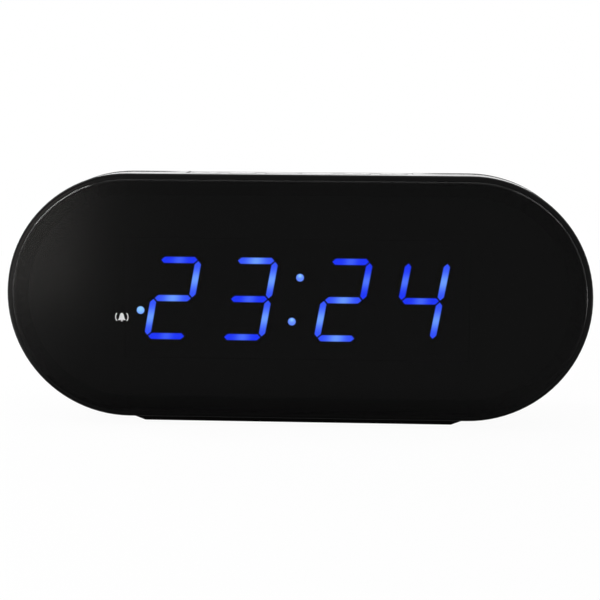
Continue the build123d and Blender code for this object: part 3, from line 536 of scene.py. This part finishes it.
def studio_floor(base):
    """Matt white floor: lamps and shadows show on it, lifted towards white for the camera, and for mirrors a
    glow of its own that carries painted shadow and painted light.
    """
    grain_mm = 2
    made, tree = new_material("Matt_white_floor")
    where = node(tree, "ShaderNodeTexCoord").outputs["Object"]
    grain = node(tree, "ShaderNodeTexNoise", {"Vector": where, "Scale": 1 / (grain_mm * MM), "Detail": 2.0})
    tone = node(
        tree,
        "ShaderNodeMix",
        {0: grain.outputs["Fac"], 6: rgba(base, 0.99), 7: rgba(base)},
        data_type="RGBA",
    )
    paint = node(tree, "ShaderNodeBsdfDiffuse", {"Color": tone.outputs[2]})
    ray = node(tree, "ShaderNodeLightPath").outputs
    # The camera sees it almost white near the clock, and all white from half a metre out.
    far = node(tree, "ShaderNodeVectorMath", {0: where}, operation="LENGTH").outputs["Value"]
    to_camera = node(
        tree,
        "ShaderNodeMapRange",
        {"Value": far, "From Min": 150 * MM, "From Max": 500 * MM, "To Min": 0.955, "To Max": 1.0},
    )
    # In mirrors it darkens towards the clock's footprint, which is about three times as long as deep: a
    # painted shadow of the clock that shows only in its reflections.
    footprint = node(tree, "ShaderNodeVectorMath", {0: where, 1: (0.3, 1.0, 1.0)}, operation="MULTIPLY")
    gap = node(tree, "ShaderNodeVectorMath", {0: footprint.outputs[0]}, operation="LENGTH").outputs["Value"]
    near = node(
        tree,
        "ShaderNodeMapRange",
        {"Value": gap, "From Min": 20 * MM, "From Max": 80 * MM, "To Min": 0.15, "To Max": 1.0},
    )
    # In mirrors it also brightens beside the clock, nearer to it on the left than on the right, and fades out
    # again in front of the clock: painted light that the lens and the case's edges show as painted
    # reflections.
    axes = node(tree, "ShaderNodeSeparateXYZ", {0: where}).outputs
    left = node(tree, "ShaderNodeMath", {0: axes["X"], 1: -1.0}, operation="MULTIPLY")
    right = node(tree, "ShaderNodeMath", {0: axes["X"], 1: 0.45}, operation="MULTIPLY")
    aside = node(tree, "ShaderNodeMath", {0: left.outputs[0], 1: right.outputs[0]}, operation="MAXIMUM")
    side = node(
        tree,
        "ShaderNodeMapRange",
        {"Value": aside.outputs[0], "From Min": 90 * MM, "From Max": 150 * MM, "To Min": 0.0, "To Max": 2.2},
    )
    level_with = node(
        tree, "ShaderNodeMapRange", {"Value": axes["Y"], "From Min": -300 * MM, "From Max": -100 * MM}
    )
    to_mirror = node(
        tree,
        "ShaderNodeMath",
        {0: side.outputs[0], 1: level_with.outputs[0], 2: near.outputs[0]},
        operation="MULTIPLY_ADD",
    )
    mirror = node(
        tree, "ShaderNodeMath", {0: ray["Is Glossy Ray"], 1: ray["Is Transmission Ray"]}, operation="MAXIMUM"
    )
    level = node(
        tree, "ShaderNodeMix", {0: mirror.outputs[0], 2: 1.0, 3: to_mirror.outputs[0]}, data_type="FLOAT"
    )
    white = node(tree, "ShaderNodeEmission", {"Color": (1, 1, 1, 1), "Strength": level.outputs[0]})
    lift = node(
        tree,
        "ShaderNodeMath",
        {0: ray["Is Camera Ray"], 1: to_camera.outputs[0], 2: mirror.outputs[0]},
        operation="MULTIPLY_ADD",
    )
    surface = node(
        tree, "ShaderNodeMixShader", {0: lift.outputs[0], 1: paint.outputs[0], 2: white.outputs[0]}
    )
    node(tree, "ShaderNodeOutputMaterial", {"Surface": surface.outputs[0]})
    return made


# Flat shapes, as two coordinates on a grid


def bar_shape(tip, thickness):
    """A light bar: across it runs v times half the thickness, and along it u times what the 45 degree
    shoulders leave, the tip's reach less the distance from the middle line. The columns close up
    towards the tips as a sine does."""
    u, v = grid(33, 17)
    u = np.sin(u * math.pi / 2)
    across = v * thickness / 2
    return u * (tip - np.abs(across)), across, u, v


def disc_shape(radius):
    """A disc from a square: each of u and v is drawn in by the root of one less half the other's square."""
    u, v = grid(17, 17)
    return radius * u * np.sqrt(1 - v**2 / 2), radius * v * np.sqrt(1 - u**2 / 2)


def bell_shape(height):
    """A bell: the half width is a dome's ellipse above, and flares out as a sixth power towards the mouth.

    Its sizes are shares of the sign's height, which has room for a clapper under the mouth.
    """
    dome, flare = 0.30, 0.20
    tall, mouth = 0.86, -0.36
    u, v = grid(13, 25)
    rise = (v + 1) / 2
    half = dome * np.sqrt(1 - rise**2.6) + flare * (1 - rise) ** 6
    return u * half * height, (rise * tall + mouth) * height


def moon_shape(radius):
    """A crescent: between the outer circle's arc and a smaller circle's, moved aside so that they meet."""
    sweep, belly = math.radians(128), 0.62
    u, v = grid(7, 33)
    turn = v * sweep
    outer = (-radius * np.cos(turn), radius * np.sin(turn))
    thick = belly * radius * np.cos(v * math.pi / 2)
    share = (u + 1) / 2
    return outer[0] + share * thick * np.cos(turn), outer[1] - share * thick * np.sin(turn)


def stroke_shape(path, width):
    """A line of even width: each point of the path moves half the width to both sides along its normal."""
    path = np.asarray(path, float)
    along = np.gradient(path, axis=0)
    along /= np.linalg.norm(along, axis=1)[:, None]
    aside = np.stack([along[:, 1], -along[:, 0]], -1)[:, None, :]
    flat = path[:, None, :] + aside * np.array([-0.5, 0.5])[None, :, None] * width
    return flat[..., 0], flat[..., 1]


def raised(flat, place, right, up, height, depth=0.0):
    """A flat shape as a closed plate: its face stands height off the place, and its back depth under it."""
    place, right, up = (np.asarray(value, float) for value in (place, right, up))
    out = np.cross(right, up)
    across, rise = (np.asarray(value)[..., None] for value in flat)
    level = place + across * right + rise * up
    high = np.broadcast_to(height, across.shape[:2])[..., None]
    return shell(level + high * out, level - depth * out)


# Operators


class CLOCK_OT_light_bars(bpy.types.Operator):
    """Makes the lit bars of the four digits, each swelling a little and palest over its chip"""

    bl_idname = "clock.light_bars"
    bl_label = "Light bars"

    def execute(self, context):
        size = context.scene.clock_display
        low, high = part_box("display_housing")
        far = size.colon_reach + size.pitch
        places = dict(zip(DIGITS, (-far, -size.colon_reach, size.colon_reach, far)))
        light = lit_epoxy("Lit_blue_epoxy_bars", size.bar_middle, size.bar_end, size.strength)
        for digit, lit in DIGITS.items():
            node_low, node_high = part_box(f"{digit}_lit_bars")
            place = ((low.x + high.x) / 2 + places[digit], node_low.y, (low.z + high.z) / 2)
            shells, glow, spill = [], [], []
            for bar, level in lit.items():
                upright, column, row = BARS[bar]
                reach = size.half_height / 2 if upright else size.half_width
                tip = reach - size.bar_gap / math.sqrt(2)
                along, across, u, v = bar_shape(tip, size.bar_thickness)
                x, z = (-across, along) if upright else (along, across)
                z = z + row * size.half_height
                x = x + column * size.half_width + z * math.tan(size.slant)
                swell = size.bar_crown * (1 - u**4) * (1 - v**2)
                shells.append(raised((x, z), place, *FRONT, swell, node_high.y - node_low.y))
                # The glow is the square of the level left by a bell curve along the bar. The loss is kept
                # close to the long edges by v's power, and to the tips by u's.
                fall = BAR_FALL * (1 - np.exp(-((along / (CHIP_REACH * tip)) ** 2)))
                glow += [np.maximum(level - fall, 0).ravel() ** 2] * 2
                spill += [((1 - BAR_EDGE_LOSS * v**8) * (1 - BAR_EDGE_LOSS * u**80)).ravel()] * 2
            stands_for = [f"{digit}_lit_bars"]
            piece(f"{digit}_light", shells, light, "clock", "blue_light", stands_for, glow=glow, spill=spill)
        return {"FINISHED"}


class CLOCK_OT_light_dots(bpy.types.Operator):
    """Makes the colon's two dots and the alarm dot as low domes"""

    bl_idname = "clock.light_dots"
    bl_label = "Light dots"

    def execute(self, context):
        size = context.scene.clock_display
        low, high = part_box("display_housing")
        middle = (low + high) / 2
        lean = size.colon_rise * math.tan(size.slant)
        groups = {
            "colon_dots": [
                (size.colon_shift + side * lean, side * size.colon_rise) for side in (-1, 1)
            ],
            "alarm_dot": [(size.alarm_out, size.alarm_drop)],
        }
        light = lit_epoxy("Lit_blue_epoxy_dots", size.dot_middle, size.dot_edge, size.strength)
        for name, dots in groups.items():
            node_low, node_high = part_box(name)
            across, rise = disc_shape(size.dot_radius)
            # Squared distances from the pale spot and from the dot's middle, in radii.
            spot = (across**2 + (rise - SPOT_RISE * size.dot_radius) ** 2) / size.dot_radius**2
            out = (across**2 + rise**2) / size.dot_radius**2
            dome = size.dot_crown * (1 - out)
            shells, glow, spill = [], [], []
            for x, z in dots:
                place = (middle.x + x, node_low.y, middle.z + z)
                shells.append(raised((across, rise), place, *FRONT, dome, node_high.y - node_low.y))
                glow += [np.exp(-spot * SPOT_FADE[name]).ravel()] * 2
                spill += [(1 - DOT_EDGE_LOSS * out**8).ravel()] * 2
            piece(f"{name}_light", shells, light, "clock", "blue_light", [name], glow=glow, spill=spill)
        return {"FINISHED"}


class CLOCK_OT_prints(bpy.types.Operator):
    """Prints small white signs on the lens, on the keys and beside the alarm switch"""

    bl_idname = "clock.prints"
    bl_label = "Printed signs"

    def execute(self, context):
        size, prints = context.scene.clock_display, context.scene.clock_prints
        # Pad-printing ink: matt, slightly uneven white, with the printing screen's fine grain.
        ink = moulded(
            "White_pad_printing_ink", context.scene.clock_finish.ink, 0.15, 0.002, (0.5, 0.7), mottle=0.05
        )
        low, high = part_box("display_housing")
        dot = (low + high) / 2 + Vector((size.alarm_out, 0, size.alarm_drop))
        lens_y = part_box("front_lens")[0].y
        place = (dot.x + prints.lens_bell_out, lens_y, dot.z + prints.lens_bell_drop)
        self.bell("lens_bell", ink, prints.layer, place, FRONT, prints.lens_bell)
        low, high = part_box("alarm_switch_knob")
        knob = (low + high) / 2
        back_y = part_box("rear_cover")[1].y
        place = (knob.x + prints.rear_bell_aside, back_y, knob.z + prints.rear_bell_rise)
        self.bell("rear_bell", ink, prints.layer, place, BACK, prints.rear_bell)
        for key, shapes in self.key_signs(prints).items():
            low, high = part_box(f"{key}_key")
            middle = (low + high) / 2
            shells = [raised(flat, (middle.x, middle.y, high.z), *TOP, prints.layer) for flat in shapes]
            piece(f"{key}_sign", shells, ink, f"{key}_key_body", "plug_white")
        return {"FINISHED"}

    def bell(self, name, ink, layer, place, side, height):
        """A bell, the clapper as a small disc under its mouth, and an arc of ringing on either side.

        The clapper's drop and radius and the arcs' radius and width are shares of the sign's height.
        """
        drop, clapper, ring, line = (share * height for share in (0.46, 0.09, 0.74, 0.11))
        right, up = side
        shells = [
            raised(bell_shape(height), place, right, up, layer),
            raised(disc_shape(clapper), place - drop * np.asarray(up), right, up, layer),
        ]
        turn = np.radians(np.linspace(-38, 38, 13))
        for way in (1, -1):
            arc = np.stack([np.cos(turn), np.sin(turn)], -1) * way * ring
            shells.append(raised(stroke_shape(arc, line), place, right, up, layer))
        piece(name, shells, ink, "clock", "plug_white")

    def key_signs(self, prints):
        """Each key's sign: a dial with hands, a bell, a moon, and one or two arrowheads to set the time."""
        line = prints.key_line
        turn = np.radians(np.linspace(70, -250, 49))
        dial = np.stack([np.cos(turn), np.sin(turn)], -1) * prints.key_dial
        hands = np.array([(0, 1.0), (0, 0.5), (0, 0.0), (0.4, 0.0), (0.8, 0.0)]) * MM
        # An arrowhead falls back from its tip as far as it goes up or down.
        rise = np.linspace(1, -1, 5) * prints.arrow_reach
        arrow = np.stack([prints.arrow_tip - np.abs(rise), rise], -1)
        step = np.array([prints.arrow_step, 0])
        return {
            "time": [stroke_shape(dial, line), stroke_shape(hands, line)],
            "alarm": [bell_shape(prints.key_bell)],
            "snooze": [moon_shape(prints.key_moon)],
            "hour": [stroke_shape(arrow - step, line), stroke_shape(arrow + step, line)],
            "minute": [stroke_shape(arrow, line)],
        }


class CLOCK_OT_end_beads(bpy.types.Operator):
    """Makes the thin bead that runs from the keys round each end of the case to its underside"""

    bl_idname = "clock.end_beads"
    bl_label = "End beads"

    def execute(self, context):
        trim = context.scene.clock_trim
        low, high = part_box("front_case")
        radius = (high.z - low.z) / 2
        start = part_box("minute_key")[1].x + trim.key_gap
        level = high.x - radius - start
        u, v = grid(97, 9)
        # Along the top first, then round the half circle: the run past the top's end is the angle turned.
        run = (u + 1) / 2 * (level + math.pi * radius)
        turn = np.maximum(run - level, 0) / radius
        x = start + np.minimum(run, level) + radius * np.sin(turn)
        z = low.z + radius + radius * np.cos(turn)
        # The profile is a parabola across the bead, and u's power lets it die away at the ends of its run.
        height = trim.height * (1 - v**2) * (1 - u**16)
        # Satin ABS, as the foot: a line that stays dark beside the polished shell.
        black = context.scene.clock_finish.foot
        satin = moulded("Satin_black_bead_ABS", black, 0.3, 0.004, (0.4, 0.5), mottle=0.2, specular=0.1)
        for name, side in (("left_end_bead", -1), ("right_end_bead", 1)):
            y = CAD_BOX[0].y + trim.setback + side * v * trim.width / 2
            out = at(side * np.sin(turn), 0, np.cos(turn))
            path = at(side * x, y, z)
            shells = [shell(path + height[..., None] * out, path - trim.sunk * out)]
            piece(name, shells, satin, "clock", "black_foot_abs")
        return {"FINISHED"}


class CLOCK_OT_finishes(bpy.types.Operator):
    """Gives every CAD node the material of its slot in the record"""

    bl_idname = "clock.finishes"
    bl_label = "Finishes"

    def execute(self, context):
        finish = context.scene.clock_finish
        made = {
            # Polished ABS: near black and glossy, with a faint waviness from the mould.
            "black_gloss_abs": moulded(
                "Polished_black_ABS", finish.shell, 1.6, 0.002, (0.13, 0.2), mottle=0.15, specular=0.07
            ),
            # ABS from a spark-eroded mould: a grain that scatters light, so that it looks charcoal. The
            # grain is drawn at 0.35 mm, coarser than the real one, so that it shows.
            "black_textured_abs": moulded(
                "Spark_textured_black_ABS", finish.cover, 0.35, 0.03, (0.45, 0.62), mottle=0.3, specular=0.35
            ),
            # Satin ABS: a finer grain that keeps a broad, soft highlight.
            "black_foot_abs": moulded(
                "Satin_black_ABS", finish.foot, 0.3, 0.008, (0.36, 0.48), specular=0.03
            ),
            # Polished ABS of the keys: a clear mirror at a low angle, dark from above.
            "black_key_abs": moulded(
                "Polished_black_key_ABS", finish.keys, 0.3, 0.002, (0.06, 0.12), specular=0.25
            ),
            "smoked_acrylic": smoked_acrylic(finish.lens),
            # Closed-cell foam: dull, with 0.3 mm cells cut open at its edge and painted shade in their pits.
            "foam_tape": cellular("Black_foam_tape", linear("#070707"), 0.3, 0.08, 0.95),
            # Moulded rubber: dark, dull, with fine cells in relief and painted shade in their pits.
            "rubber": cellular("Matt_black_rubber", linear("#232324"), 0.45, 0.02, 0.8),
            # Zinc plating over steel: pale, slightly blue, with fine lines.
            "screw_steel": plated("Zinc_plated_steel", linear("#b4b7bb"), (0.25, 0.42), 0.25, (1, 1, 6)),
            # Matt black polycarbonate of the reflector block: absorbs stray light.
            "display_black": moulded(
                "Matt_black_polycarbonate", linear("#060606"), 0.4, 0.01, (0.7, 0.85), specular=0.02
            ),
            # Smoke-tinted epoxy over a chip that is off: dark, faintly blue.
            "dark_bar": moulded(
                "Unlit_smoked_epoxy", linear("#15171d"), 0.6, 0.004, (0.35, 0.45), mottle=0.15, specular=0.2
            ),
            # Silicone dome over a chip: pale yellow and shiny.
            "led_chip": moulded("Chip_silicone", linear("#e6dcb4"), 0.3, 0.004, (0.2, 0.3), mottle=0.08),
            "board_green": circuit_board(finish.mask),
            # Epoxy moulding compound of chips and sockets: charcoal with a fine grain of filler.
            "chip_black": moulded(
                "Epoxy_moulding_compound", linear("#1d1d1f"), 0.2, 0.006, (0.4, 0.55), mottle=0.25
            ),
            # Shrunk PET sleeve: dark blue and shiny, slightly rippled.
            "capacitor_sleeve": moulded(
                "Shrunk_PET_sleeve", linear("#16244a"), 1.2, 0.01, (0.18, 0.28), mottle=0.15
            ),
            # Nickel-plated steel: warm, bright, with drawing lines along the can.
            "can_steel": plated("Nickel_plated_steel", linear("#c8c4ba"), (0.16, 0.3), 0.3, (1, 5, 1)),
            # Nylon of the switches: black, with a dull sheen.
            "switch_black": moulded("Black_nylon", linear("#19191b"), 0.3, 0.006, (0.42, 0.55)),
            # Acetal: waxy off-white.
            "switch_plunger": moulded(
                "White_acetal", linear("#dedbd2"), 0.4, 0.004, (0.35, 0.45), mottle=0.06
            ),
            "ribbon_grey": flat_cable(),
            # Natural nylon of the plugs: cream.
            "plug_white": moulded("Natural_nylon", linear("#e8e0cb"), 0.5, 0.006, (0.4, 0.5), mottle=0.06),
            # Bright-dipped brass, turned on a lathe: yellow, with fine lines round the pin.
            "pin_brass": plated("Turned_brass", linear("#c9a557"), (0.18, 0.3), 0.2, (1, 8, 1)),
        }
        # The scene's own pieces stand for the lit bars and dots, whose nodes are hidden.
        made["blue_light"] = made["dark_bar"]
        for part in frame["record"]["subparts"]:
            material = made[part["material_slot"]]
            mesh = frame["nodes"][part["node"]].data
            mesh.materials.clear()
            mesh.materials.append(material)
        return {"FINISHED"}


class CLOCK_OT_stage(bpy.types.Operator):
    """Sets the floor, the white surround, the lamps and the camera"""

    bl_idname = "clock.stage"
    bl_label = "Stage"

    def execute(self, context):
        scene, stage = context.scene, context.scene.clock_stage
        scene.view_settings.view_transform = "Standard"
        self.floor(scene, stage)
        self.surround(scene, stage)
        # Lamps: place and aim in mm, width and height in mm, and the brightness of their face.
        face, warm = (0, -20, 45), (1.0, 0.96, 0.9)
        self.lamp("top_box", (0, -60, 640), (0, -20, 40), (560, 400), 0.9)
        self.lamp("left_front_box", (-176, -260, 52), face, (130, 114), 3.7, warm)
        self.lamp("left_high_box", (-416, 40, 396), face, (170, 320), 8.5)
        self.lamp("left_side_box", (-640, 0, 160), face, (420, 360), 2.0)
        self.lamp("right_high_box", (400, 0, 420), face, (200, 300), 2.4)
        self.lamp("right_side_box", (640, 0, 190), face, (420, 420), 0.3)
        self.lamp("back_high_box", (20, 480, 420), (0, 0, 60), (500, 300), 2.2)
        self.lamp("back_low_box", (20, 700, 160), (0, 0, 78), (760, 220), 0.5)
        self.camera(scene, stage)
        return {"FINISHED"}

    def floor(self, scene, stage):
        """A level plate under the clock, its top at the foot: u and v times half its side."""
        u, v = grid(3, 3)
        x, y = u * stage.floor_reach, v * stage.floor_reach
        points, quads = shell(at(x, y, 0.0), at(x, y, -stage.floor_depth))
        mesh = bpy.data.meshes.new("studio_floor")
        mesh.from_pydata(points, [], quads)
        mesh.materials.append(studio_floor(stage.floor))
        floor = bpy.data.objects.new("studio_floor", mesh)
        scene.collection.objects.link(floor)

    def surround(self, scene, stage):
        """White for the camera, for mirrors and through glass, and a softer level as light."""
        scene.world = scene.world or bpy.data.worlds.new("surround")
        scene.world.use_nodes = True
        tree = scene.world.node_tree
        tree.nodes.clear()
        ray = node(tree, "ShaderNodeLightPath").outputs
        seen = ray["Is Camera Ray"]
        for kind in ("Is Glossy Ray", "Is Transmission Ray"):
            seen = node(tree, "ShaderNodeMath", {0: seen, 1: ray[kind]}, operation="MAXIMUM").outputs[0]
        level = node(tree, "ShaderNodeMapRange", {"Value": seen, "To Min": stage.ambient, "To Max": 1.0})
        white = node(tree, "ShaderNodeBackground", {"Color": (1, 1, 1, 1), "Strength": level.outputs[0]})
        node(tree, "ShaderNodeOutputWorld", {"Surface": white.outputs[0]})

    def lamp(self, name, place, target, size, brightness, tint=(1.0, 1.0, 1.0)):
        """A rectangular soft box that the camera doesn't see, of power pi times its area and brightness."""
        light = bpy.data.lights.new(name, "AREA")
        light.shape = "RECTANGLE"
        light.size, light.size_y = size[0] * MM, size[1] * MM
        light.energy = math.pi * light.size * light.size_y * brightness
        light.color = tint
        made = bpy.data.objects.new(name, light)
        made.location = Vector(place) * MM
        made.rotation_euler = (Vector(target) - Vector(place)).to_track_quat("-Z", "Y").to_euler()
        made.visible_camera = False
        bpy.context.scene.collection.objects.link(made)

    def camera(self, scene, stage):
        """The photograph's standpoint, a little right of and above the front, turned by the roll."""
        ahead = (stage.camera_target - stage.camera_place).normalized()
        right = ahead.cross(Vector((0, 0, 1))).normalized()
        up = right.cross(ahead)
        turn, lean = math.cos(stage.roll), math.sin(stage.roll)
        axes = (right * turn + up * lean, up * turn - right * lean, -ahead)
        lens = bpy.data.cameras.new("photo_camera")
        lens.lens, lens.sensor_width = stage.focal, stage.sensor
        lens.clip_start, lens.clip_end = 0.01, 50.0
        made = bpy.data.objects.new("photo_camera", lens)
        made.matrix_world = Matrix.Translation(stage.camera_place) @ Matrix(axes).transposed().to_4x4()
        scene.collection.objects.link(made)
        scene.camera = made


class CLOCK_PT_sidebar(bpy.types.Panel):
    """The clock's settings and steps"""

    bl_label = "Desk clock"
    bl_idname = "CLOCK_PT_sidebar"
    bl_space_type = "VIEW_3D"
    bl_region_type = "UI"
    bl_category = "Clock"

    def draw(self, context):
        for operator in OPERATORS:
            self.layout.operator(operator.bl_idname)
        for group in GROUPS:
            settings = getattr(context.scene, group)
            box = self.layout.box()
            for name in settings.__annotations__:
                box.prop(settings, name)


GROUPS = {
    "clock_display": ClockDisplay,
    "clock_prints": ClockPrints,
    "clock_trim": ClockTrim,
    "clock_finish": ClockFinish,
    "clock_stage": ClockStage,
}
OPERATORS = (
    CLOCK_OT_light_bars,
    CLOCK_OT_light_dots,
    CLOCK_OT_prints,
    CLOCK_OT_end_beads,
    CLOCK_OT_finishes,
    CLOCK_OT_stage,
)
CLASSES = (*GROUPS.values(), *OPERATORS, CLOCK_PT_sidebar)


def register():
    for made in CLASSES:
        bpy.utils.register_class(made)
    for name, group in GROUPS.items():
        setattr(bpy.types.Scene, name, PointerProperty(type=group))


def unregister():
    for name in GROUPS:
        delattr(bpy.types.Scene, name)
    for made in reversed(CLASSES):
        bpy.utils.unregister_class(made)


def main():
    register()
    bpy.ops.clock.light_bars()
    bpy.ops.clock.light_dots()
    bpy.ops.clock.prints()
    bpy.ops.clock.end_beads()
    bpy.ops.clock.finishes()
    bpy.ops.clock.stage()


if __name__ == "__main__":
    main()
